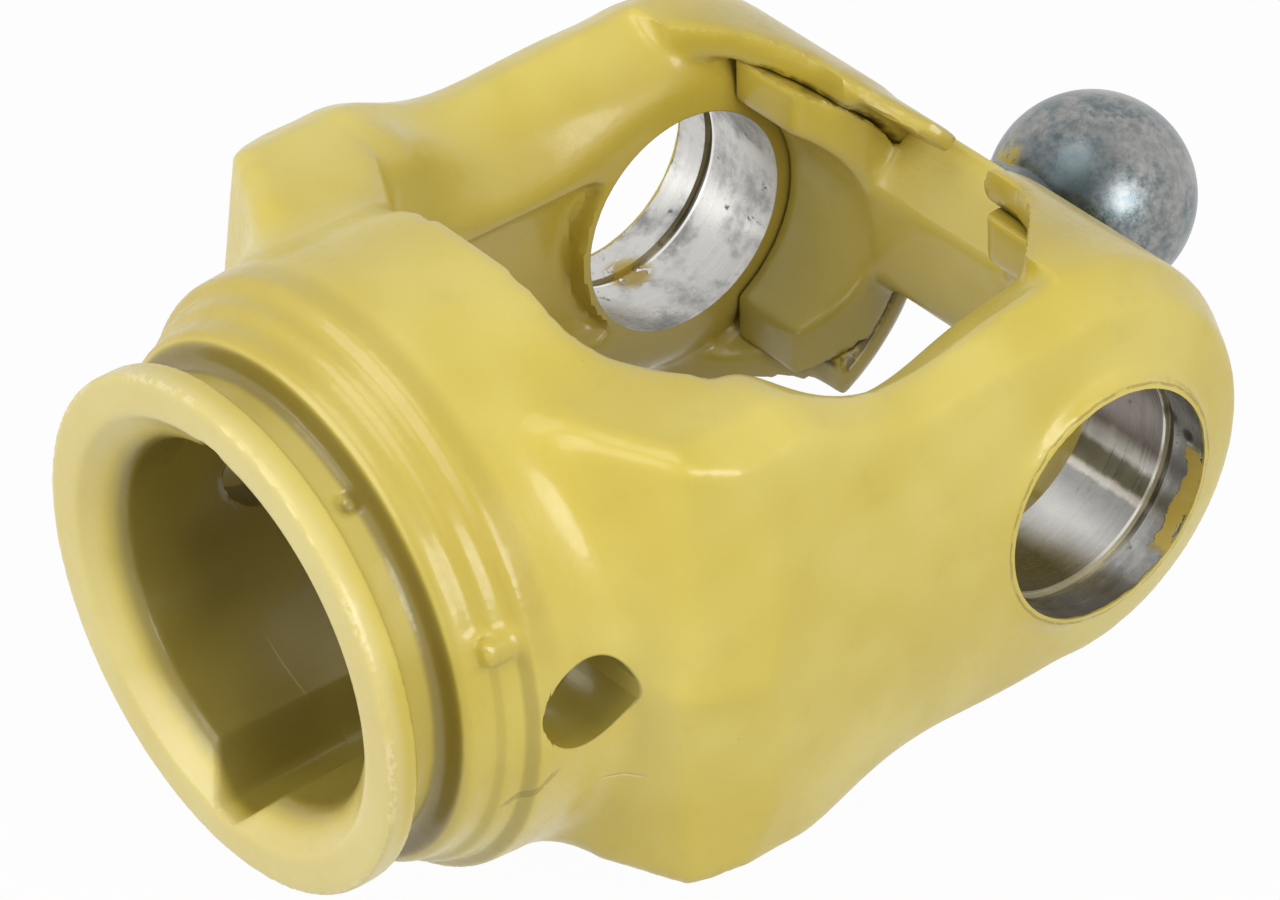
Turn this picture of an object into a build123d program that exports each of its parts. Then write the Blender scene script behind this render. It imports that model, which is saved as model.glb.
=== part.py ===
"""Forged shaft yoke with a centring ball.

X is the axis of the two cross bores, Y runs from the tube socket to the ball,
Z is up, and the origin is where the bore axis crosses the shaft axis.
All sizes are millimetres.
"""
import os
from math import cos, radians, sin, sqrt

from build123d import *

# Cross bores and their retaining-ring grooves
BORE_R = 16.0
GROOVE_SPACING = 90.0
GROOVE_WIDTH = 1.5
GROOVE_DEPTH = 0.8

# Ears: faces, and the share of the ear's width at which lip, ridge and crown lie
FACE_INNER = 30.8
EAR_WIDTH = 20.6
FACE_OUTER = FACE_INNER + EAR_WIDTH
END_R = 29.0
EAR_Y = -49.5
WAIST_Y = -27.0
CHANNEL_R = 35.3
CHANNEL_HALF = 12.3
LIP_SHARE = {"root": 0.03, "waist": 0.22, "end": 0.08}
RIDGE_SHARE = {"root": 0.54, "waist": 0.54, "end": 0.50}
CROWN_SHARE = {"root": 0.83, "waist": 0.845, "end": 0.845}

# Heights of the ear's flat, lip, ridge and crown at its root, waist and end
ROOT_FLAT = 18.0
ROOT_LIP = 32.0
ROOT_TOP = 33.0
ROOT_CROWN = 27.0
WAIST_FLAT = 15.0
WAIST_LIP = 21.0
WAIST_TOP = 26.7
WAIST_CROWN = 21.8
END_FLAT = 20.5
END_LIP = 23.6
END_CROWN = 21.8
FLAT_ROUND = 6.0
LIP_ROUND = 4.0
RIDGE_ROUND = 1.2
BROW_ROUND = 2.0

# Shoulders: front wall with draft on both sides of the parting plane
WALL_X = 47.3
WALL_REACH = 15.5
WALL_Y = EAR_Y - WALL_REACH
WALL_SLOPE = 0.47
WALL_DRAFT = 7.0
WALL_ROUND = 7.0
CHEEK_SLOPE = 0.41
BROW_EDGE = 2.5

# Socket end
MOUTH_Y = -99.5
LIP_R_OUT = 34.6
LIP_LENGTH = 4.4
NECK_DEPTH = 3.6
NECK_LENGTH = 10.5
COLLAR_RISE = 0.8
COLLAR_WIDTH = 4.4
STEP_RISE = 1.8
STEP_WIDTH = 3.1
BODY_RISE = 2.6
NECK_R = LIP_R_OUT - NECK_DEPTH
COLLAR_Y = MOUTH_Y + NECK_LENGTH
COLLAR_R = LIP_R_OUT + COLLAR_RISE
STEP_Y = COLLAR_Y + COLLAR_WIDTH
STEP_R = COLLAR_R + STEP_RISE
BODY_Y = STEP_Y + STEP_WIDTH
BODY_R = STEP_R + BODY_RISE
EDGE_RISE = 0.4
NECK_ROUND = 1.4
CROTCH_REACH = 8.5
CROTCH_OVERLAP = 1.0
CROTCH_Y = EAR_Y - CROTCH_REACH
CROTCH_SIDE_Y = EAR_Y + CROTCH_OVERLAP
CROTCH_FLAT = 14.0
CROTCH_ROUND = 20.0

# Tube socket: a round bore with two opposite lobes, and a bell mouth
SOCKET_R = 24.3
LOBE_DEPTH = 5.0
LOBE_R = SOCKET_R + LOBE_DEPTH
LOBE_FLOOR = 3.8
LOBE_BASE = 13.3
LOBE_TURN = -3.0
BELL_FLARE = 5.1
BELL_CLEAR = 0.7
BELL_R = SOCKET_R + BELL_FLARE
BELL_DEPTH = 3.5
BELL_INNER_R = SOCKET_R + BELL_CLEAR
BELL_RUNOUT = 1.2

# Cross hole for the locking pin
PIN_R = 6.3
PIN_REACH = 7.7
PIN_Y = BODY_Y + PIN_REACH
PIN_Z = 0.5

# Marks of the forging on neck and collar
DIMPLE_R = 1.5
DIMPLE_ANGLE = 56.7
DIMPLE_BACK = 1.8
DIMPLE_Y = COLLAR_Y - DIMPLE_BACK
TONGUE_WIDTH = 3.6
TONGUE_DEPTH = 4.4
TONGUE_SINK = 3.4
TONGUE_ROUND = 1.2
TONGUE_LENGTH = 5.0
TONGUE_ANGLE = 18.0

# Curled arms at the ear ends
ARM_WALL = 4.7
ARM_GAP = 26.0
ARM_SIDE_Y = 4.0
ARM_MID_X = 22.5
ARM_MID_Y = 11.0
ARM_TIP_Y = 12.5
ARM_INNER_EDGE = 0.8
ARM_OUTER_EDGE = 2.0
FLASH_REACH = 12.5
FLASH_HALF = 6.5
FLASH_WALL = 2.5

# Bridge block, carried under the arms
FIT = 0.1
BLOCK_WALL = 6.5
RECESS_R = END_R - ARM_WALL - BLOCK_WALL
BLOCK_FRONT = 8.5
RAMP_OUTER = 18.5
RAMP_INNER = 13.0
BAR_SET = 0.8
BAR_FRONT = RECESS_R - BAR_SET
BAR_HALF = 7.0
BAR_PROUD = 0.2
BAR_R = END_R + BAR_PROUD
SEAM = 0.7

# Ball stud
BALL_R = 14.1
BALL_Y = 44.5
STUD_R = 8.0
STUD_COLLAR_R = 10.5
STUD_COLLAR = 1.5
STUD_NECK_RISE = 0.8
STUD_NECK_R = STUD_R + STUD_NECK_RISE
STUD_NECK_FLARE = 1.0
STUD_SINK = 9.2
STUD_SEAT_Y = BAR_R - STUD_SINK

SIDE = Plane(origin=(0, 0, 0), x_dir=(0, 1, 0), z_dir=(1, 0, 0))
ARM_INNER_R = END_R - ARM_WALL


def section_plane(y):
    """Plane across the shaft axis, with X to the right and Z up."""
    return Plane(origin=(0, y, 0), x_dir=(1, 0, 0), z_dir=(0, -1, 0))


def around_y(radius, y0, y1):
    """Cylinder about the shaft axis between two stations."""
    disc = Plane(origin=(0, y0, 0), x_dir=(1, 0, 0), z_dir=(0, 1, 0)) * Circle(radius)
    return extrude(disc, y1 - y0)


def around_x(radius, x0, x1):
    """Cylinder about the cross axis between two stations."""
    disc = Plane(origin=(x0, 0, 0), x_dir=(0, 1, 0), z_dir=(1, 0, 0)) * Circle(radius)
    return extrude(disc, x1 - x0)


def eased(share):
    """Runs from 0 to 1 with a level start and end."""
    return share * share * (3 - 2 * share)


def across(share):
    """Distance from the shaft axis at a share of the ear's width."""
    return FACE_INNER + share * EAR_WIDTH


def ear_sizes(y):
    """Flat, lip, ridge and crown points of the ear's section at a station."""
    named = {
        "root": (ROOT_FLAT, ROOT_LIP, ROOT_TOP, ROOT_CROWN),
        "waist": (WAIST_FLAT, WAIST_LIP, WAIST_TOP, WAIST_CROWN),
        "end": (END_FLAT, END_LIP, END_R, END_CROWN),
    }
    if y < WAIST_Y:
        before, after, share = "root", "waist", eased((y - EAR_Y) / (WAIST_Y - EAR_Y))
    else:
        before, after, share = "waist", "end", eased((y - WAIST_Y) / -WAIST_Y)
    heights = [p + (q - p) * share for p, q in zip(named[before], named[after])]
    places = [0.0]
    for table in (LIP_SHARE, RIDGE_SHARE, CROWN_SHARE):
        places.append(table[before] + (table[after] - table[before]) * share)
    return [(across(place), height) for place, height in zip(places, heights)]


def ear_outline(y, flat, lip, ridge, crown):
    """Section across the right ear: flat inner face, lip, ridge and crowned outer face."""
    rise = FACE_OUTER - crown[0]
    crown_r = (rise**2 + crown[1] ** 2) / (2 * rise)
    edge = sqrt((ridge[0] - crown[0]) ** 2 + (ridge[1] - crown[1]) ** 2) * 0.4
    lean = crown[1] / crown_r
    brow = (crown[0] - edge * lean, crown[1] + edge * sqrt(1 - lean**2))
    top = [flat, lip, ridge, brow, crown]
    bottom = [(x, -z) for x, z in reversed(top)]
    radii = [BROW_ROUND, RIDGE_ROUND, LIP_ROUND, FLAT_ROUND]
    line = FilletPolyline(*bottom, *top, radius=[*radii, *reversed(radii)][:: -1])
    arc = ThreePointArc(crown, (FACE_OUTER, 0), (crown[0], -crown[1]))
    return section_plane(y) * make_face(line + arc)


def drafted_plan():
    """Right shoulder in plan, with its walls leaning in above and below the parting plane."""
    start = WALL_Y - WALL_X * WALL_SLOPE
    far = 2 * FACE_OUTER
    cheek_x = WALL_X + (far - WALL_Y) * CHEEK_SLOPE
    plan = FilletPolyline(
        (-far, start),
        (0, start),
        (WALL_X, WALL_Y),
        (cheek_x, far),
        (-far, far),
        radius=[0, WALL_ROUND, 0],
    )
    face = Plane.XY * make_face(plan + Line((-far, far), (-far, start)))
    upper = extrude(face, ROOT_TOP, taper=WALL_DRAFT)
    brow = upper.edges().filter_by_position(Axis.Z, ROOT_TOP - FIT, ROOT_TOP + FIT)
    front = [edge for edge in brow if edge.center().Y < EAR_Y or edge.center().X > FACE_INNER]
    upper = upper.fillet(BROW_EDGE, front)
    return upper + mirror(upper, Plane.XY)


def shoulder():
    """Flat-topped root of the right ear: its front wall leaves the barrel at a slant."""
    flat, lip, ridge, crown = ear_sizes(EAR_Y)
    hidden = (0.0, ROOT_TOP - LIP_ROUND)
    outline = ear_outline(EAR_Y, hidden, (lip[0] - FACE_INNER, ROOT_TOP), ridge, crown)
    return extrude(outline, EAR_Y - BODY_Y) & drafted_plan()


def right_ear():
    """Ear from the shoulder to the middle of the bore, with the round end added."""
    places = [EAR_Y, EAR_Y + (WAIST_Y - EAR_Y) * 0.45, EAR_Y + (WAIST_Y - EAR_Y) * 0.85]
    places += [WAIST_Y * 0.75, WAIST_Y * 0.4, 0.0]
    stations = [ear_outline(y, *ear_sizes(y)) for y in places]
    bar = loft(stations)
    upper = Plane.XZ * Pos(FACE_OUTER, END_R) * Rectangle(2 * FACE_OUTER, 2 * END_R)
    end = revolve(stations[-1] & upper, Axis((0, 0, 0), (-1, 0, 0)), 180)
    return bar + end


def socket_body():
    """Lip, neck, stepped collar and barrel, turned about the shaft axis."""
    y0 = MOUTH_Y
    y1 = MOUTH_Y + LIP_LENGTH
    rise = EDGE_RISE
    profile = [
        (0, y0),
        (LIP_R_OUT, y0),
        (LIP_R_OUT, y1),
        (NECK_R, y1 + rise),
        (NECK_R, COLLAR_Y),
        (COLLAR_R, COLLAR_Y + rise),
        (COLLAR_R + rise, STEP_Y),
        (STEP_R, STEP_Y + rise),
        (STEP_R + rise, BODY_Y),
        (BODY_R - rise, BODY_Y + rise),
        (BODY_R, BODY_Y + NECK_ROUND * 4),
        (BODY_R, EAR_Y),
        (0, EAR_Y),
    ]
    shares = [0.35, 0.7, 1.0, 0.8, 1.4, 0.5, 0.6, 0.35, 0.6, 4.0, 0]
    rounds = [share * NECK_ROUND for share in shares]
    outline = FilletPolyline(*profile, radius=rounds)
    outline += Line(profile[-1], profile[0])
    return revolve(Plane.XY * make_face(outline), Axis.Y, 360)


def crotch():
    """Space between the ears, with its arched end at the socket."""
    plan = FilletPolyline(
        (-FACE_INNER, CROTCH_SIDE_Y),
        (-CROTCH_FLAT, CROTCH_Y),
        (CROTCH_FLAT, CROTCH_Y),
        (FACE_INNER, CROTCH_SIDE_Y),
        radius=CROTCH_ROUND,
    )
    plan += Polyline(
        (FACE_INNER, CROTCH_SIDE_Y), (FACE_INNER, 0), (-FACE_INNER, 0), (-FACE_INNER, CROTCH_SIDE_Y)
    )
    return extrude(Plane.XY * make_face(plan), 2 * BODY_R, both=True)


def socket_bore():
    """Round bore with a lobe top and bottom, right through, with its bell mouth."""
    length = CROTCH_Y - MOUTH_Y + SOCKET_R / 2
    root = sqrt(SOCKET_R**2 - LOBE_BASE**2 / 4)
    lobe = Polygon(
        (LOBE_BASE / 2, 0),
        (LOBE_BASE / 2, root),
        (LOBE_FLOOR / 2, LOBE_R),
        (-LOBE_FLOOR / 2, LOBE_R),
        (-LOBE_BASE / 2, root),
        (-LOBE_BASE / 2, 0),
        align=None,
    )
    outline = Circle(SOCKET_R) + lobe + Rot(0, 0, 180) * lobe
    mouth = Plane(origin=(0, MOUTH_Y, 0), x_dir=(1, 0, 0), z_dir=(0, -1, 0))
    tube = extrude(mouth * Rot(0, 0, LOBE_TURN) * outline, -length)
    bell = [
        (0, MOUTH_Y - BELL_RUNOUT),
        (BELL_R + (BELL_R - BELL_INNER_R) / BELL_DEPTH * BELL_RUNOUT, MOUTH_Y - BELL_RUNOUT),
        (BELL_INNER_R, MOUTH_Y + BELL_DEPTH),
        (SOCKET_R, MOUTH_Y + BELL_DEPTH + BELL_RUNOUT),
        (0, MOUTH_Y + BELL_DEPTH + BELL_RUNOUT),
    ]
    return tube + revolve(Plane.XY * Polygon(*bell, align=None), Axis.Y, 360)


def arm_front():
    """Plan outline of what is cleared in front of the curled arms."""
    half = ARM_GAP / 2
    ridge = across(RIDGE_SHARE["end"]) + ARM_OUTER_EDGE
    edge = Spline((ridge, -END_R / 4), (FACE_INNER, ARM_SIDE_Y), (ARM_MID_X, ARM_MID_Y), (half, ARM_TIP_Y))
    back = [(half, ARM_TIP_Y), (0, ARM_TIP_Y + ARM_WALL), (0, -END_R), (ridge, -END_R), (ridge, -END_R / 4)]
    return make_face(edge + Polyline(*back))


def right_arm():
    """Wall that curls inward round the ear end, following its outline."""
    half = ARM_GAP / 2
    ridge = across(RIDGE_SHARE["end"])
    wall = FilletPolyline(
        (ridge, ARM_INNER_R),
        (half, ARM_INNER_R),
        (half, END_R),
        (ridge, END_R),
        radius=[ARM_INNER_EDGE, ARM_OUTER_EDGE],
    )
    face = make_face(wall + Line((ridge, END_R), (ridge, ARM_INNER_R)))
    ring = revolve(Plane.XZ * face, Axis((0, 0, 0), (-1, 0, 0)), 180)
    cleared = extrude(Plane.XY * arm_front(), 2 * END_R, both=True)
    return ring - cleared


def flash_lobe():
    """Thin tongue of flash that carries the left arm on to the middle."""
    lean = radians(45)
    sheet = Plane(origin=(-ARM_GAP / 2, 0, 0), x_dir=(1, 0, 0), z_dir=(0, cos(lean), sin(lean)))
    blank = extrude(sheet * Ellipse(FLASH_REACH, FLASH_HALF), 2 * END_R)
    outer_r = END_R - ARM_INNER_EDGE / 2
    shell = around_x(outer_r, -ARM_GAP, FIT) - around_x(outer_r - FLASH_WALL, -ARM_GAP, FIT)
    return blank & shell


def yoke_fork():
    ear = right_ear() + right_arm()
    root = shoulder()
    barrel = socket_body() + root + mirror(root, Plane.YZ) - crotch()
    body = barrel + ear + mirror(ear, Plane.YZ)
    outline = Pos(BODY_R - TONGUE_SINK, 0) * RectangleRounded(TONGUE_DEPTH, TONGUE_WIDTH, TONGUE_ROUND)
    tongue = extrude(section_plane(BODY_Y + EDGE_RISE) * outline, TONGUE_LENGTH)
    body += Rot(0, -TONGUE_ANGLE, 0) * tongue
    body += flash_lobe()
    body -= socket_bore()
    body -= around_x(BORE_R, -FACE_OUTER - 5, FACE_OUTER + 5)
    for side in (-1, 1):
        ring = side * GROOVE_SPACING / 2
        body -= around_x(BORE_R + GROOVE_DEPTH, ring - GROOVE_WIDTH / 2, ring + GROOVE_WIDTH / 2)
    channel = around_y(CHANNEL_R, CROTCH_Y - CROTCH_REACH, 0) & Box(4 * BODY_R, 8 * BODY_R, 2 * CHANNEL_HALF)
    body -= channel
    body -= Pos(0, PIN_Y, PIN_Z) * around_x(PIN_R, -FACE_OUTER, FACE_OUTER)
    angle = radians(DIMPLE_ANGLE)
    body -= Pos(NECK_R * cos(angle), DIMPLE_Y, NECK_R * sin(angle)) * Sphere(DIMPLE_R)
    return body


def bridge_block():
    """Piece that closes the ear ends under the arms and carries the ball stud."""
    outer_r = ARM_INNER_R - FIT
    wall = around_x(outer_r, -FACE_INNER, FACE_INNER) - around_x(RECESS_R, -FACE_INNER, FACE_INNER)
    plan = Polygon(
        (-FACE_INNER, BLOCK_FRONT),
        (-RAMP_OUTER, BLOCK_FRONT),
        (-RAMP_INNER, BAR_FRONT),
        (RAMP_INNER, BAR_FRONT),
        (RAMP_OUTER, BLOCK_FRONT),
        (FACE_INNER, BLOCK_FRONT),
        (FACE_INNER, 2 * END_R),
        (-FACE_INNER, 2 * END_R),
        align=None,
    )
    block = wall & extrude(Plane.XY * plan, 2 * END_R, both=True)
    crest = BAR_FRONT - BAR_HALF
    notch = Polygon((crest, 0), (crest + END_R, END_R), (crest, END_R), align=None)
    for turned in (notch, mirror(notch, Plane.XZ)):
        block -= extrude(SIDE * turned, RAMP_INNER, both=True)
    ends = [edge for edge in block.edges() if abs(abs(edge.center().X) - FACE_INNER) < FIT]
    block = chamfer(ends, SEAM)
    bar = Polygon(
        (BAR_FRONT, -BAR_HALF),
        (BAR_FRONT, BAR_HALF),
        (BAR_FRONT + END_R, BAR_HALF + END_R),
        (BAR_FRONT + END_R, -BAR_HALF - END_R),
        align=None,
    )
    boss = extrude(SIDE * bar, RAMP_INNER, both=True) & around_x(BAR_R, -RAMP_INNER, RAMP_INNER)
    return block + boss - around_y(STUD_R, STUD_SEAT_Y, 2 * END_R)


def ball_stud():
    """Ball, waist, collar and shank, turned about the shaft axis."""
    neck_r = STUD_NECK_R
    meet = BALL_Y - sqrt(BALL_R**2 - neck_r**2)
    top = BALL_Y + BALL_R
    line = Polyline(
        (0, STUD_SEAT_Y),
        (STUD_R, STUD_SEAT_Y),
        (STUD_R, BAR_R),
        (STUD_COLLAR_R, BAR_R),
        (STUD_COLLAR_R, BAR_R + STUD_COLLAR),
        (neck_r, BAR_R + STUD_COLLAR + STUD_NECK_FLARE),
        (neck_r, meet),
    )
    round_end = ThreePointArc((neck_r, meet), (BALL_R, BALL_Y), (0, top))
    return revolve(Plane.XY * make_face(line + round_end + Line((0, top), (0, STUD_SEAT_Y))), Axis.Y, 360)


os.makedirs("parts", exist_ok=True)
pieces = {"yoke_fork": yoke_fork(), "bridge_block": bridge_block(), "ball_stud": ball_stud()}
for name, shape in pieces.items():
    print(name, shape.is_valid, len(shape.solids()), round(shape.volume), shape.bounding_box())
    export_step(shape, f"parts/{name}.step")
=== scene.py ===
"""Looks of a forged shaft yoke: yellow paint, bare machined bores and a grey ball."""
from math import cos, hypot, pi, sin

import bmesh
import bpy
from mathutils import Matrix, Vector

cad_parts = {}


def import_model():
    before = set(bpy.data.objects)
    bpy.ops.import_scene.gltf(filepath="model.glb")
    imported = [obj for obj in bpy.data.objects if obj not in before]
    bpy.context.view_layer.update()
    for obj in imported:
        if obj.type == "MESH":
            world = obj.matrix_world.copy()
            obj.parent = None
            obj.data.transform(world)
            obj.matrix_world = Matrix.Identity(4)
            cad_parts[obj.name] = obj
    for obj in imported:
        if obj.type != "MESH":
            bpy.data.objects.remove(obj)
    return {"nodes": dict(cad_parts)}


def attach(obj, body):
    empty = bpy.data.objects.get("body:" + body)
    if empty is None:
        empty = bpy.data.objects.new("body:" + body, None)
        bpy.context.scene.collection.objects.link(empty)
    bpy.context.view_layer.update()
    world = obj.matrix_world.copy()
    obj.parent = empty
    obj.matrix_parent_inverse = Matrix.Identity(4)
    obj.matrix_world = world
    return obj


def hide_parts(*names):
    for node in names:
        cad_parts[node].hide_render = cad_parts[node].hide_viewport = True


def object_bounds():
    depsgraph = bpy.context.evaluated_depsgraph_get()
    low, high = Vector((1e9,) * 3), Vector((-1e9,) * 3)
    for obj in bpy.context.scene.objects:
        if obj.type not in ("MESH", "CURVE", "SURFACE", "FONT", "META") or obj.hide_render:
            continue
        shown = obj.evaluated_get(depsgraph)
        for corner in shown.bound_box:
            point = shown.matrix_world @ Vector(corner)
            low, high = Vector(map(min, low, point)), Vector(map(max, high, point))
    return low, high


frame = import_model()
cad_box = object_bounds()

# Sizes of the part that the finishes follow, in millimetres
BORE_R = 16.0
FACE_INNER = 30.8
FACE_OUTER = 51.4
GROOVE_X = 45.0
GROOVE_WIDTH = 1.5
GROOVE_R = 16.8
MOUTH_Y = -99.5
LIP_R = 34.6
LEDGE_Y = -84.5
STEP_Y = -81.3
SOCKET_R = 24.3
LOBE_R = 29.3
BODY_R = 39.8
PIN_Y = -73.8
PIN_Z = 0.5
PIN_R = 6.3
ARM_INNER_R = 24.3
PER_METRE = 1000.0


# Shader maths

class Reading:
    """A number that varies over a surface, with the usual operators."""

    def __init__(self, finish, socket):
        self.finish = finish
        self.socket = socket

    def maths(self, operation, *values):
        return self.finish.node("ShaderNodeMath", {"operation": operation}, dict(enumerate(values)))

    def __add__(self, other):
        return self.maths("ADD", self, other)

    def __sub__(self, other):
        return self.maths("SUBTRACT", self, other)

    def __rsub__(self, other):
        return self.maths("SUBTRACT", other, self)

    def __mul__(self, other):
        return self.maths("MULTIPLY", self, other)

    def __truediv__(self, other):
        return self.maths("DIVIDE", self, other)

    def __abs__(self):
        return self.maths("ABSOLUTE", self)

    def larger(self, other):
        return self.maths("MAXIMUM", self, other)

    def ramp(self, low, high, start=0.0, end=1.0):
        """Runs smoothly from start to end while the number goes from low to high."""
        return self.finish.node(
            "ShaderNodeMapRange",
            {"interpolation_type": "SMOOTHSTEP"},
            {"Value": self, "From Min": low, "From Max": high, "To Min": start, "To Max": end},
        )

    def fall(self, low, high):
        """Falls smoothly from 1 to 0 while the number goes from low to high."""
        return self.ramp(low, high, 1.0, 0.0)

    def span(self, rise, drop):
        """1 between two soft ends, each given by the two numbers it runs between."""
        return self.ramp(*rise) * self.fall(*drop)

    def line(self, place, half_width, end):
        """1 within half a width of a place, falling to 0 at the end distance."""
        return abs(self - place).fall(half_width, end)


class Finish:
    """A material in the making, with its place on the part read in millimetres."""

    def __init__(self, name):
        self.material = bpy.data.materials.new(name)
        self.material.use_nodes = True
        self.tree = self.material.node_tree
        self.tree.nodes.clear()
        self.output = self.tree.nodes.new("ShaderNodeOutputMaterial")
        place = self.node("ShaderNodeTexCoord", {}, {}, "Object")
        self.place = self.node("ShaderNodeVectorMath", {"operation": "SCALE"}, {0: place, "Scale": PER_METRE})
        self.x, self.y, self.z = [
            self.node("ShaderNodeSeparateXYZ", {}, {0: self.place}, axis) for axis in ("X", "Y", "Z")
        ]

    def node(self, kind, settings, links, out=0):
        made = self.tree.nodes.new(kind)
        for key, value in settings.items():
            if key == "stops":
                ramp = made.color_ramp
                ramp.elements[0].position, ramp.elements[0].color = value[0]
                ramp.elements[1].position, ramp.elements[1].color = value[-1]
                for position, colour in value[1:-1]:
                    ramp.elements.new(position).color = colour
            else:
                setattr(made, key, value)
        for key, value in links.items():
            if isinstance(value, Reading):
                self.tree.links.new(value.socket, made.inputs[key])
            else:
                made.inputs[key].default_value = value
        return Reading(self, made.outputs[out])

    def noise(self, size, detail=3.0, roughness=0.5, place=None):
        """Soft random pattern whose blots are about the given size in millimetres."""
        return self.node(
            "ShaderNodeTexNoise",
            {},
            {"Vector": place or self.place, "Scale": 1.0 / size, "Detail": detail, "Roughness": roughness},
        )

    def cells(self, size):
        """Distance to the nearest of scattered points that are about the given size apart."""
        return self.node("ShaderNodeTexVoronoi", {}, {"Vector": self.place, "Scale": 1.0 / size}, "Distance")

    def stretched(self, factors):
        """The place on the part, stretched along the axes."""
        return self.node("ShaderNodeVectorMath", {"operation": "MULTIPLY"}, {0: self.place, 1: factors})

    def tint(self, first, second, mask):
        """Colour that goes from first to second as the mask goes from 0 to 1."""
        def colour(value):
            return value if isinstance(value, Reading) else (*value, 1.0)
        return self.node(
            "ShaderNodeMix",
            {"data_type": "RGBA"},
            {0: mask, 6: colour(first), 7: colour(second)},
            2,
        )

    def reach(self, *values):
        """Square root of the sum of squares."""
        total = values[0] * values[0]
        for value in values[1:]:
            total = total + value * value
        return total.maths("SQRT", total)

    def near(self, point, radius, soft=0.4):
        """1 within a radius of a point in millimetres, falling softly to 0."""
        away = self.reach(self.x - point[0], self.y - point[1], self.z - point[2])
        return away.fall(radius * (1 - soft), radius * (1 + soft))

    def relief(self, height, depth):
        """Surface direction disturbed by a height that is given in parts of depth, in millimetres."""
        links = {"Height": height, "Distance": depth / PER_METRE, "Strength": 1.0}
        return self.node("ShaderNodeBump", {}, links)

    def shade(self, colour, roughness, metallic, normal, **more):
        links = {"Base Color": colour, "Roughness": roughness, "Metallic": metallic, "Normal": normal}
        links.update(more)
        surface = self.node("ShaderNodeBsdfPrincipled", {}, links)
        self.tree.links.new(surface.socket, self.output.inputs["Surface"])
        return self.material


def linear(red, green, blue):
    """Colour as the shader wants it, from the eight-bit values seen on a screen."""
    def one(value):
        value = value / 255.0
        return value / 12.92 if value <= 0.04045 else ((value + 0.055) / 1.055) ** 2.4
    return (one(red), one(green), one(blue))


# Finishes

MUSTARD = linear(205, 184, 73)
PALE_MUSTARD = linear(215, 197, 98)
CREAM = linear(226, 212, 152)
DEEP_MUSTARD = linear(170, 147, 50)
OCHRE = linear(216, 184, 84)
OLIVE = linear(110, 94, 36)
DARK_OLIVE = linear(80, 68, 28)
PALE_GLINT = linear(240, 238, 232)
STEEL = linear(206, 204, 200)
PALE_STEEL = linear(182, 180, 176)
DULL_STEEL = linear(140, 140, 138)
DIM_STEEL = linear(104, 100, 78)
BROWN_STEEL = linear(122, 112, 106)
# Dark colour for real soot, stains and spots, and also for painted shade in the seams and the ring groove
SOOT_AND_SHADE = linear(46, 40, 32)
BLUED = linear(100, 111, 114)
DARK_BLUED = linear(66, 78, 82)

PAINT_GLOSS = 0.30
PAINT_COAT = {"Specular IOR Level": 0.5, "Coat Roughness": 0.12}
PAINT_RELIEF = 0.35
BALL_RELIEF = 0.08

# Places of single marks, in millimetres
SCRATCH_Z = -14.1
GASH_LEAD = 70.2
TURNING_LINE_Y = -81.5
FILM_R = 17.0
PATCH_X = 51.9
FAR_SMEAR = (-44.5, 1.0, -16.0)
BORE_SPOT = (48.3, 16.0, 1.2)
GROOVE_SPOT = (45.2, 15.8, 2.8)
RIM_SPOT = (51.3, 16.0, -1.0)
BALL_DARK_REFLECTION = (5.6, 35.3, 9.0)
BALL_PAINT = (-6.5, 33.0, 8.5)

# Painted reflections, partly machining streaks: light and dark bands along the near bore, by degrees round
# the cross axis
FIRST_BAND = -130.0
BANDS_TURN = 170.0
BORE_REFLECTION_BANDS = [
    ((degrees - FIRST_BAND) / BANDS_TURN, (*colour, 1.0))
    for degrees, colour in (
        (-130, DULL_STEEL), (-102, DIM_STEEL), (-88, DIM_STEEL), (-76, PALE_STEEL), (-64, STEEL),
        (-47, DULL_STEEL), (-43, DULL_STEEL), (-41, STEEL), (-39, STEEL), (-37, DIM_STEEL),
        (-28, DIM_STEEL), (-25, STEEL), (-20, PALE_STEEL), (-15, BROWN_STEEL), (40, BROWN_STEEL),
    )
]


def painted_forging(finish):
    """Colour, roughness and height of yellow paint over a shot-blasted forging."""
    broad = finish.noise(26.0, 2.0)
    mottle = finish.noise(5.0, 4.0, 0.6)
    colour = finish.tint(MUSTARD, PALE_MUSTARD, broad.ramp(0.40, 0.68))
    colour = finish.tint(colour, OLIVE, mottle.ramp(0.52, 0.78) * 0.06)
    specks = finish.cells(9.0).fall(0.022, 0.04) * finish.noise(11.0).ramp(0.52, 0.60)
    colour = finish.tint(colour, DARK_OLIVE, specks * 0.5)
    pits = finish.noise(1.1, 3.0, 0.6)
    waves = finish.noise(9.0, 2.0, 0.4)
    height = pits * 0.10 + waves * 0.9 - specks * 0.05
    rough = pits.ramp(0.3, 0.7) * 0.10 + mottle.ramp(0.3, 0.8) * 0.08 + 0.30
    return colour, rough, height


def bare_steel(finish):
    """Colour, roughness and height of a reamed bore about the cross axis."""
    streaks = finish.noise(1.0, 4.0, 0.7, finish.stretched((1.0, 0.03, 0.03)))
    cloud = finish.noise(6.0, 4.0, 0.65)
    colour = finish.tint(STEEL, DULL_STEEL, cloud.ramp(0.42, 0.72))
    stain = finish.noise(3.2, 5.0, 0.7).ramp(0.62, 0.70)
    colour = finish.tint(colour, SOOT_AND_SHADE, stain * 0.7)
    rough = streaks.ramp(0.3, 0.7) * 0.10 + stain * 0.25 + 0.24
    return colour, rough, streaks, stain


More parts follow.
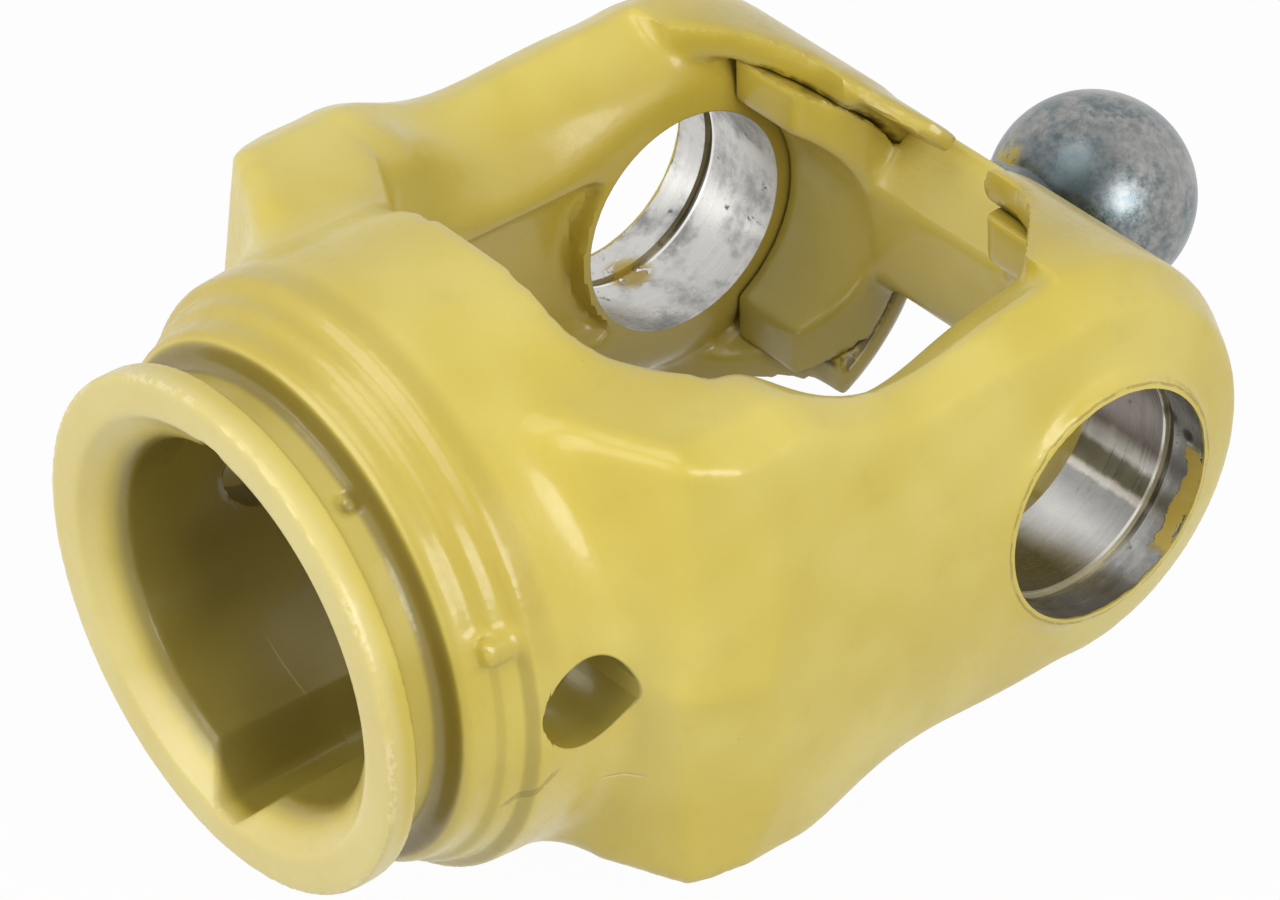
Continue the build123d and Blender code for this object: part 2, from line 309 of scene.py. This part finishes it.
def front_wear_and_shade(finish, colour, inside, from_shaft):
    """The turned end: thinner coat and painted shade in the socket, painted shade in the neck, collar, steps
    and pin hole, a painted sheen and pale chips on the lip.
    """
    # Darker in the socket: a thinner coat and painted shade in the recess
    thin_coat_and_shade = finish.noise(22.0, 2.0).ramp(0.35, 0.65) * 0.15 + 0.66
    colour = finish.tint(colour, OLIVE, inside * thin_coat_and_shade)

    # Painted shade in the neck groove, darkest in the crease under the collar's front face
    neck = finish.y.span((-95.6, -94.4), (-88.8, -88.4)) * from_shaft.ramp(29.5, 30.5)
    crease = finish.y.ramp(-91.0, -89.9) * from_shaft.fall(34.2, 35.3)
    colour = finish.tint(colour, OLIVE, neck * (crease * 0.58 + 0.20))

    # Painted shadow along the collar's steps, in their lower part
    step = finish.y.line(STEP_Y, 0.3, 0.9).larger(finish.y.line(LEDGE_Y, 0.2, 0.6) * 0.4)
    step = step * from_shaft.ramp(34.0, 35.0) * finish.z.ramp(14.0, 8.0) * finish.z.ramp(-36.0, -28.0)
    colour = finish.tint(colour, OLIVE, step * 0.36)
    # Painted shade: the collar deeper in tone towards its top, against the top light
    collar_top_shade = finish.y.span((-88.6, -88.0), (-78.5, -76.0)) * finish.z.ramp(-2.0, 20.0)
    colour = finish.tint(colour, DEEP_MUSTARD, collar_top_shade * 0.42)

    # Painted shade in the pin hole, darker towards its rear
    from_pin = finish.reach(finish.y - PIN_Y, finish.z - PIN_Z)
    pin_hole_shade = from_pin.fall(PIN_R + 0.05, PIN_R + 0.25) * from_shaft.ramp(SOCKET_R + 0.5, SOCKET_R + 1.5)
    colour = finish.tint(colour, DARK_OLIVE, pin_hole_shade * (finish.y.ramp(-79.0, -70.0) * 0.35 + 0.12))
    # Painted sheen: the lip face paler
    colour = finish.tint(colour, CREAM, finish.y.fall(-98.4, -96.6) * 0.45)

    # Pale flakes where the lip's outer edge knocks against things
    lip_edge = finish.y.fall(MOUTH_Y + 0.5, MOUTH_Y + 1.3) * from_shaft.ramp(LIP_R - 1.1, LIP_R - 0.3)
    chips = lip_edge * finish.noise(1.5, 4.0, 0.7).ramp(0.49, 0.54)
    chips = chips * finish.noise(15.0, 1.0).ramp(0.42, 0.48)
    return finish.tint(colour, CREAM, chips * 0.9)


def shaded_ears(finish, colour, ragged, side, from_cross):
    """Painted shade between the ears, darker towards the bottom, and painted shade in the seam along the
    arms.
    """
    # Painted shade between the ears, deeper towards the bottom
    between = side.fall(FACE_INNER + 0.6, FACE_INNER + 9.0) * finish.y.ramp(-62.0, -40.0)
    colour = finish.tint(colour, DEEP_MUSTARD, between * 0.42)
    colour = finish.tint(colour, OLIVE, between * finish.z.ramp(-2.0, -22.0) * 0.35)
    # Painted shade in the crevice where the arms meet the block
    seam = from_cross.fall(ARM_INNER_R + 0.5, ARM_INNER_R + 1.1) * finish.y.ramp(8.0, 11.0)
    seam = seam * side.fall(27.5, 29.5)
    return finish.tint(colour, SOOT_AND_SHADE, seam * ragged.ramp(0.38, 0.52) * 0.7)


def bore_metal(finish, turn, ragged, side, from_groove):
    """The bores' steel, with the near one's painted reflection bands and machining streaks, painted shade in
    the ring groove, a painted glint and dark spots.
    """
    metal, rough, streaks, stain = bare_steel(finish)
    near_bore = finish.x.ramp(0.0, 1.0)
    # Painted reflections, partly machining streaks, as bands round the near bore
    share = (turn - FIRST_BAND) / BANDS_TURN
    reflection_bands = finish.node("ShaderNodeValToRGB", {"stops": BORE_REFLECTION_BANDS}, {"Fac": share})
    metal = finish.tint(metal, reflection_bands, side.ramp(GROOVE_X - 1.4, GROOVE_X + 1.4, 0.85, 0.30) * near_bore)
    # Painted shade in the ring groove, darker in its upper part
    metal = finish.tint(metal, SOOT_AND_SHADE, from_groove.fall(0.4, 0.9) * turn.ramp(-70.0, -45.0, 0.15, 0.75))
    metal = finish.tint(metal, PALE_GLINT, side.line(GROOVE_X - 0.95, 0.15, 0.35) * 0.9)
    outer_land = side.ramp(GROOVE_X + 0.6, GROOVE_X + 1.2) * near_bore
    cloud = finish.noise(5.0, 4.0, 0.7).ramp(0.35, 0.6)
    metal = finish.tint(metal, DULL_STEEL, outer_land * (cloud * 0.5 + 0.3))
    spots = finish.near(BORE_SPOT, 0.9).larger(finish.near(GROOVE_SPOT, 1.3))
    spots = spots.larger(finish.near(RIM_SPOT, 1.4) * ragged.ramp(0.42, 0.5))
    metal = finish.tint(metal, SOOT_AND_SHADE, spots * near_bore * 0.8)
    return metal, rough, streaks, stain


def knocks(finish, inside, ragged):
    """A pale scratch, a slanting gash and the socket's faint turning line."""
    scratch = abs(finish.z - SCRATCH_Z + ragged * 0.8).fall(0.10, 0.30)
    scratch = scratch * finish.x.span((33.5, 34.5), (40.0, 41.0))
    scratch = scratch * finish.y.ramp(-58.0, -60.0) * finish.y.ramp(-71.0, -69.0)
    gash = abs(finish.y - finish.z + GASH_LEAD + ragged * 0.6 - 0.3).fall(0.35, 0.75)
    gash = gash * finish.z.span((-13.8, -12.6), (-8.6, -7.6)) * finish.x.ramp(30.0, 31.0)
    gash = gash * finish.noise(1.2, 3.0).ramp(0.36, 0.46)
    witness = finish.y.line(TURNING_LINE_Y, 0.08, 0.16) * inside
    witness = witness * finish.x.span((-17.0, -14.0), (-9.0, -7.0)) * finish.z.ramp(-14.0, -16.0)
    return scratch, gash, witness


def fork_finish():
    finish = Finish("yellow_paint_fork")
    colour, rough, height = painted_forging(finish)
    ragged = finish.noise(2.4, 3.0, 0.6)
    side = abs(finish.x)
    from_cross = finish.reach(finish.y, finish.z)
    from_shaft = finish.reach(finish.x, finish.z)
    inside = from_shaft.fall(LOBE_R + 0.3, LOBE_R + 1.0) * finish.y.span((-97.6, -95.4), (-60.0, -52.0))
    colour = front_wear_and_shade(finish, colour, inside, from_shaft)
    colour = shaded_ears(finish, colour, ragged, side, from_cross)

    # Bare bores, with paint that runs a little way in and a patch in the near one
    from_groove = abs(side - GROOVE_X)
    grooved = from_groove.fall(GROOVE_WIDTH / 2 - 0.05, GROOVE_WIDTH / 2 + 0.05)
    grooved = grooved * from_cross.fall(GROOVE_R + 0.1, GROOVE_R + 0.2)
    bored = from_cross.fall(BORE_R + 0.08, BORE_R + 0.14).larger(grooved)
    bored = bored * side.ramp(FACE_INNER - 1.0, FACE_INNER - 0.5)
    run_in = (side + ragged * 0.8).ramp(FACE_OUTER - 0.1, FACE_OUTER + 0.1)
    turn = finish.z.maths("ARCTAN2", finish.z, finish.y) * (180.0 / pi) + ragged * 5.0 - 2.5
    patch = turn.span((-56.0, -50.0), (-4.0, 1.0)) * finish.x.ramp(0.0, 1.0)
    patch = patch * abs(side - PATCH_X + finish.noise(3.5, 4.0, 0.65) * 4.4).fall(1.3, 1.45)
    smear = patch.larger(finish.near(FAR_SMEAR, 3.0) * ragged.ramp(0.44, 0.50))
    bare = bored * (1.0 - run_in.larger(smear))
    painted = 1.0 - bare
    colour = finish.tint(colour, OCHRE, bored * smear * 0.85)
    film = abs(from_cross - FILM_R + ragged * 0.5).fall(0.08, 0.26)
    film = film * side.ramp(FACE_OUTER - 0.6, FACE_OUTER - 0.2)
    colour = finish.tint(colour, OLIVE, film * (ragged.ramp(0.40, 0.55) * 0.35 + 0.15))

    scratch, gash, witness = knocks(finish, inside, ragged)
    colour = finish.tint(colour, CREAM, scratch.larger(witness * 0.45) * 0.55)
    colour = finish.tint(colour, OLIVE, gash * 0.38)
    height = height - (scratch + gash) * 0.35 - film * 0.15

    metal, metal_rough, streaks, stain = bore_metal(finish, turn, ragged, side, from_groove)
    colour = finish.tint(colour, metal, bare)
    rough = rough * painted + metal_rough * bare
    height = height * painted + streaks * bare * 0.02 - stain * bare * 0.06
    normal = finish.relief(height, PAINT_RELIEF)
    gloss = {"Coat Weight": painted * PAINT_GLOSS}
    return finish.shade(colour, rough, bare * 0.92, normal, **gloss, **PAINT_COAT)


def block_finish():
    finish = Finish("yellow_paint_block")
    colour, rough, height = painted_forging(finish)
    from_cross = finish.reach(finish.y, finish.z)
    # Painted shade: the block deeper in tone towards its front and darker towards the bottom
    colour = finish.tint(colour, DEEP_MUSTARD, finish.y.ramp(22.0, 12.0) * 0.10 + 0.05)
    colour = finish.tint(colour, OLIVE, finish.z.ramp(2.0, -16.0) * 0.48)

    # Painted shade in the open seam where the block passes under the arms and beside the ears
    wander = finish.noise(3.0, 3.0) * 0.7
    under_arm = abs(from_cross - ARM_INNER_R + 0.2).fall(0.2, 0.5) * finish.y.ramp(20.0, 17.0)
    under_arm = under_arm * (wander.ramp(0.25, 0.45) * 0.6 + 0.2) * finish.x.ramp(19.0, 15.0)
    beside_ear = (abs(finish.x) + wander).ramp(FACE_INNER - 0.30, FACE_INNER - 0.05)
    colour = finish.tint(colour, SOOT_AND_SHADE, (under_arm * 0.6).larger(beside_ear * 0.9))
    normal = finish.relief(height, PAINT_RELIEF)
    gloss = {"Coat Weight": PAINT_GLOSS}
    return finish.shade(colour, rough, 0.0, normal, **gloss, **PAINT_COAT)


def ball_finish():
    finish = Finish("mottled_grey_steel")
    cloud = finish.noise(7.0, 4.0, 0.6)
    fleck = finish.noise(1.6, 5.0, 0.72)
    colour = finish.tint(BLUED, DULL_STEEL, cloud.ramp(0.40, 0.60))
    lit_side = (finish.z * 0.6 + finish.x * 0.5 + cloud * 14.0).ramp(2.0, 15.0)
    colour = finish.tint(colour, PALE_STEEL, fleck.ramp(0.36, 0.72) * (lit_side * 0.55 + 0.05))
    colour = finish.tint(colour, SOOT_AND_SHADE, fleck.ramp(0.38, 0.28) * 0.15)
    # Painted dark reflection of the surroundings on the ball
    dark_reflection = finish.near(BALL_DARK_REFLECTION, 6.5, 0.8) * (cloud * 0.5 + 0.65)
    colour = finish.tint(colour, DARK_BLUED, dark_reflection)
    paint = finish.near(BALL_PAINT, 3.2) * finish.noise(2.0, 3.0).ramp(0.40, 0.50)
    colour = finish.tint(colour, MUSTARD, paint)
    rough = fleck.ramp(0.3, 0.7) * 0.12 + 0.24
    height = fleck * 0.5 + cloud * 0.5
    return finish.shade(colour, rough, 0.95 - paint * 0.95, finish.relief(height, BALL_RELIEF))


# Forging: the solid's own shape with its edges and hollows flowing into each other

SPLIT_Y = -79.0
SPLIT_OVERLAP = 0.05
FORK_VOXEL = 1.0
FRONT_VOXEL = 0.62
BLOCK_VOXEL = 0.6
SHARP_ANGLE = 0.6
FORK_ROUNDS = 7
HOLLOW_ROUNDS = 60
FRONT_ROUNDS = 3
BLOCK_ROUNDS = 26
CUTTER_CORNERS = 192
BAR_CORNERS = 96
BORE_PLUG_R = BORE_R + 1.2
PIN_PLUG_R = PIN_R + 0.6
PIN_PLUG_ENDS = (SOCKET_R + 0.4, BODY_R - 0.5)
DRILL_END = BODY_R + 5.0
REAM_PLAY = 0.05
OVERRUN = 6.0


def shown(name, data):
    made = bpy.data.objects.new(name, data)
    bpy.context.scene.collection.objects.link(made)
    return made


def finished(made):
    """Mesh of an object with its modifiers worked in."""
    bpy.context.view_layer.update()
    graph = bpy.context.evaluated_depsgraph_get()
    mesh = bpy.data.meshes.new_from_object(made.evaluated_get(graph))
    made.modifiers.clear()
    return mesh


def edited(mesh, *steps):
    """Runs each step on the mesh opened for editing."""
    work = bmesh.new()
    work.from_mesh(mesh)
    for step in steps:
        step(work)
    work.to_mesh(mesh)
    work.free()
    return mesh


def joined_corners(work):
    bmesh.ops.remove_doubles(work, verts=work.verts, dist=2e-6)


def turned_outward(work):
    bmesh.ops.recalc_face_normals(work, faces=work.faces)


def kept(side, split_y):
    """Step that keeps what lies before (-1) or behind (1) the split, and closes the cut."""
    def step(work):
        everything = work.verts[:] + work.edges[:] + work.faces[:]
        place = Vector((0.0, split_y / PER_METRE, 0.0))
        cut = bmesh.ops.bisect_plane(
            work, geom=everything, dist=1e-7, plane_co=place, plane_no=(0, -side, 0), clear_outer=True
        )
        rim = [part for part in cut["geom_cut"] if isinstance(part, bmesh.types.BMEdge)]
        bmesh.ops.triangle_fill(work, edges=rim, use_beauty=True, normal=(0, -side, 0))
        turned_outward(work)
    return step


def eased(value, low, high):
    """Runs smoothly from 0 to 1 while the value goes from low to high."""
    share = min(1.0, max(0.0, (value - low) / (high - low)))
    return share * share * (3.0 - 2.0 * share)


def worn_soft(x, y, z):
    """How far the forging's rounding goes at a place: not at all where it was machined."""
    from_cross = hypot(y, z)
    from_shaft = hypot(x, z)
    bored_ear = eased(abs(x), FACE_INNER - 2.8, FACE_INNER - 0.3) * eased(-from_cross, -19.5, -17.0)
    bored_socket = eased(-from_shaft, -LOBE_R - 2.2, -LOBE_R - 1.0) * eased(-y, 56.0, 60.0)
    front = eased(y, SPLIT_Y - 2.0, SPLIT_Y + 4.0)
    thin_arm = 1.0 - 0.45 * eased(y, 6.0, 12.0)
    brow = 1.0 - 0.6 * eased(abs(x), 36.0, 40.0) * eased(-y, 50.0, 56.0)
    return (1.0 - bored_ear) * (1.0 - bored_socket) * front * thin_arm * brow


def worn_hollow(x, y, z):
    """Extra rounding in the hollow between each shoulder and the barrel."""
    near_barrel = eased(-abs(hypot(x, z) - BODY_R), -6.0, -2.5)
    along = eased(y, -77.0, -72.0) * eased(-y, 44.0, 50.0)
    return near_barrel * along * eased(abs(x), 12.0, 18.0) * worn_soft(x, y, z)


def front_soft(x, y, z):
    """The turned end rounds a little at its edges, but not at the split or in the socket."""
    bored = eased(-hypot(x, z), -LOBE_R - 1.2, -LOBE_R - 0.2) * eased(y, -97.0, -95.0)
    return eased(-y, -SPLIT_Y + 0.5, -SPLIT_Y + 2.0) * (1.0 - bored)


def block_soft(x, y, z):
    """The block stays tight against the ears and under the arms, and the rest flows."""
    free_end = eased(-abs(x), -FACE_INNER + 0.2, -FACE_INNER + 1.5)
    free_back = eased(-hypot(y, z), -ARM_INNER_R + 0.6, -ARM_INNER_R + 2.6)
    return free_end * free_back


def smoothed(made, softness, rounds):
    """Lets the surface flow, as far as the softness says at each place."""
    group = made.vertex_groups.new(name=softness.__name__)
    for point in made.data.vertices:
        group.add([point.index], softness(*(point.co * PER_METRE)), "REPLACE")
    flow = made.modifiers.new(softness.__name__, "SMOOTH")
    flow.factor = 0.5
    flow.iterations = rounds
    flow.vertex_group = group.name
    made.data = finished(made)
    made.vertex_groups.clear()


def turned_cutter(name, profile, corners=CUTTER_CORNERS):
    """Closed body turned about the cross axis from places on it and radii, in millimetres."""
    points = []
    for x, radius in profile:
        for k in range(corners):
            angle = 2 * pi * k / corners
            across, up = radius * cos(angle), radius * sin(angle)
            points.append((x / PER_METRE, across / PER_METRE, up / PER_METRE))
    faces = []
    for first in range(0, len(points) - corners, corners):
        second = first + corners
        for k in range(corners):
            after = (k + 1) % corners
            faces.append((first + k, first + after, second + after, second + k))
    faces.append(tuple(range(corners)))
    faces.append(tuple(range(len(points) - corners, len(points))))
    mesh = bpy.data.meshes.new(name)
    mesh.from_pydata(points, [], faces)
    return shown(name, edited(mesh, turned_outward))


def round_bar(name, radius, ends, y, z):
    bar = turned_cutter(name, [(x, radius) for x in ends], BAR_CORNERS)
    bar.data.transform(Matrix.Translation((0.0, y / PER_METRE, z / PER_METRE)))
    return bar


def cast_skin(name, mesh, voxel, softness):
    """Closed mesh laid on an even grid and then smoothed by each rule in turn."""
    made = shown(name, mesh)
    grid = made.modifiers.new("grid", "REMESH")
    grid.mode = "VOXEL"
    grid.voxel_size = voxel / PER_METRE
    made.data = finished(made)
    for rule, rounds in softness:
        smoothed(made, rule, rounds)
    return made


def solid_copy(node_name, *steps):
    """Copy of a solid's mesh with its loose triangles joined."""
    return edited(frame["nodes"][node_name].data.copy(), joined_corners, *steps)


def shaded(made):
    """Smooth shading that stops at sharp edges."""
    made.data.shade_smooth()
    made.data.set_sharp_from_angle(angle=SHARP_ANGLE)
    return made


def combined(made, operation, others):
    """Cuts the others away from the object, or joins them to it, and removes them."""
    for other in others:
        work = made.modifiers.new(other.name, "BOOLEAN")
        work.operation = operation
        work.solver = "EXACT"
        work.object = other
    made.data = finished(made)
    for other in others:
        bpy.data.objects.remove(other)


def plugged(solid):
    """Fills the bores and the pin hole, so the grid doesn't fray their rims."""
    for side in (-1, 1):
        bore_ends = (side * FACE_INNER, side * FACE_OUTER)
        pin_ends = [side * x for x in PIN_PLUG_ENDS]
        for plug in (
            round_bar("plug", BORE_PLUG_R, bore_ends, 0.0, 0.0),
            round_bar("plug", PIN_PLUG_R, pin_ends, PIN_Y, PIN_Z),
        ):
            edited(solid, lambda work: work.from_mesh(plug.data))
            bpy.data.objects.remove(plug)
    return solid


def bore_and_pin_cutters():
    """Reamers that leave each bore with its ring groove, and the pin hole's drill."""
    ream = BORE_R + REAM_PLAY
    groove_start = GROOVE_X - GROOVE_WIDTH / 2
    groove_end = GROOVE_X + GROOVE_WIDTH / 2
    profile = [
        (FACE_INNER - OVERRUN, ream), (groove_start, ream), (groove_start, GROOVE_R),
        (groove_end, GROOVE_R), (groove_end, ream), (FACE_OUTER + OVERRUN, ream),
    ]
    cutters = [turned_cutter("reamer", [(side * x, r) for x, r in profile]) for side in (-1, 1)]
    cutters.append(round_bar("drill", PIN_R, (-DRILL_END, DRILL_END), PIN_Y, PIN_Z))
    return cutters


def forging():
    """Fork with flowing edges, its bores, ring grooves and pin hole cut afresh."""
    solid = plugged(solid_copy("yoke_fork"))
    flows = [(worn_soft, FORK_ROUNDS), (worn_hollow, HOLLOW_ROUNDS)]
    made = cast_skin("forged_fork", solid, FORK_VOXEL, flows)
    edited(made.data, kept(1, SPLIT_Y))
    combined(made, "DIFFERENCE", bore_and_pin_cutters())

    # The turned front end is finer, so its steps stay crisp
    front_mesh = solid_copy("yoke_fork", kept(-1, SPLIT_Y + 3.0))
    front = cast_skin("front", front_mesh, FRONT_VOXEL, [(front_soft, FRONT_ROUNDS)])
    edited(front.data, kept(-1, SPLIT_Y + SPLIT_OVERLAP))
    combined(made, "UNION", [front])
    return shaded(made)


def coat(mesh, material):
    mesh.materials.clear()
    mesh.materials.append(material)


def replaced(node_name, piece, finish):
    coat(piece.data, finish)
    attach(piece, "root")
    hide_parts(node_name)


replaced("yoke_fork", forging(), fork_finish())
block = cast_skin("cast_block", solid_copy("bridge_block"), BLOCK_VOXEL, [(block_soft, BLOCK_ROUNDS)])
replaced("bridge_block", shaded(block), block_finish())
coat(frame["nodes"]["ball_stud"].data, ball_finish())


# Stage, light and camera

WHITE = (1.0, 1.0, 1.0, 1.0)
FLOOR_COLOUR = (0.5, 0.5, 0.5, 1.0)
FLOOR_WHITENESS = 0.97
FLOOR_HALF = 3.0
FLOOR_GAP = 0.0002
ROOM_LIGHT = 0.42
ROOM_SEEN = 1.0
CAMERA_PLACE = (0.4819, -0.4187, 0.4546)
CAMERA_LENS = 170.8


def pale_floor():
    """Pale surface that shows white to the camera and still keeps a soft shadow."""
    finish = Finish("pale_floor")
    diffuse = finish.node("ShaderNodeBsdfDiffuse", {}, {"Color": FLOOR_COLOUR})
    glow = finish.node("ShaderNodeEmission", {}, {"Color": WHITE, "Strength": 1.0})
    seen = finish.node("ShaderNodeLightPath", {}, {}, "Is Camera Ray")
    mirrored = finish.node("ShaderNodeLightPath", {}, {}, "Is Glossy Ray")
    passed = finish.node("ShaderNodeLightPath", {}, {}, "Is Transmission Ray")
    share = seen.larger(mirrored).larger(passed) * FLOOR_WHITENESS
    surface = finish.node("ShaderNodeMixShader", {}, {0: share, 1: diffuse, 2: glow})
    finish.tree.links.new(surface.socket, finish.output.inputs["Surface"])
    return finish.material


def floor():
    low = cad_box[0][2] - FLOOR_GAP
    corners = [(-1, -1), (1, -1), (1, 1), (-1, 1)]
    mesh = bpy.data.meshes.new("floor")
    mesh.from_pydata([(x * FLOOR_HALF, y * FLOOR_HALF, low) for x, y in corners], [], [(0, 1, 2, 3)])
    mesh.materials.append(pale_floor())
    shown("floor", mesh)


def lamp(name, place, size, power):
    data = bpy.data.lights.new(name, "AREA")
    data.shape = "DISK"
    data.size = size
    data.energy = power
    made = shown(name, data)
    made.location = place
    made.rotation_euler = Vector(place).to_track_quat("Z", "Y").to_euler()


def brighter(tree, path):
    """1 for rays from the camera, from a mirror or through glass."""
    share = path.outputs["Is Camera Ray"]
    for kind in ("Is Glossy Ray", "Is Transmission Ray"):
        larger = tree.nodes.new("ShaderNodeMath")
        larger.operation = "MAXIMUM"
        tree.links.new(share, larger.inputs[0])
        tree.links.new(path.outputs[kind], larger.inputs[1])
        share = larger.outputs[0]
    return share


def white_background(tree, strength):
    background = tree.nodes.new("ShaderNodeBackground")
    background.inputs["Color"].default_value = WHITE
    background.inputs["Strength"].default_value = strength
    return background.outputs[0]


def world():
    """White room that is dimmer as a light than it looks."""
    room = bpy.data.worlds.new("pale_room")
    room.use_nodes = True
    bpy.context.scene.world = room
    tree = room.node_tree
    tree.nodes.clear()
    path = tree.nodes.new("ShaderNodeLightPath")
    pick = tree.nodes.new("ShaderNodeMixShader")
    output = tree.nodes.new("ShaderNodeOutputWorld")
    tree.links.new(brighter(tree, path), pick.inputs[0])
    tree.links.new(white_background(tree, ROOM_LIGHT), pick.inputs[1])
    tree.links.new(white_background(tree, ROOM_SEEN), pick.inputs[2])
    tree.links.new(pick.outputs[0], output.inputs["Surface"])


def camera():
    """Camera at the photograph's viewing angle, in the part's frame."""
    right = Vector((0.63648, 0.77102, -0.02073))
    up = Vector((-0.44955, 0.39267, 0.80232))
    back = Vector((0.62674, -0.50134, 0.59654))
    turn = Matrix((right, up, back)).transposed().to_4x4()
    data = bpy.data.cameras.new("camera")
    data.sensor_width = 36.0
    data.lens = CAMERA_LENS
    data.clip_end = 20.0
    made = shown("camera", data)
    made.matrix_world = Matrix.Translation(CAMERA_PLACE) @ turn
    bpy.context.scene.camera = made


floor()
world()
lamp("front_soft_light", (-0.25, -0.95, 0.32), 0.9, 5.4)
lamp("side_soft_light", (0.95, -0.05, 0.45), 0.6, 5.5)
lamp("top_soft_light", (-0.05, -0.35, 1.00), 0.7, 2.7)
camera()
bpy.context.scene.view_settings.view_transform = "Standard"
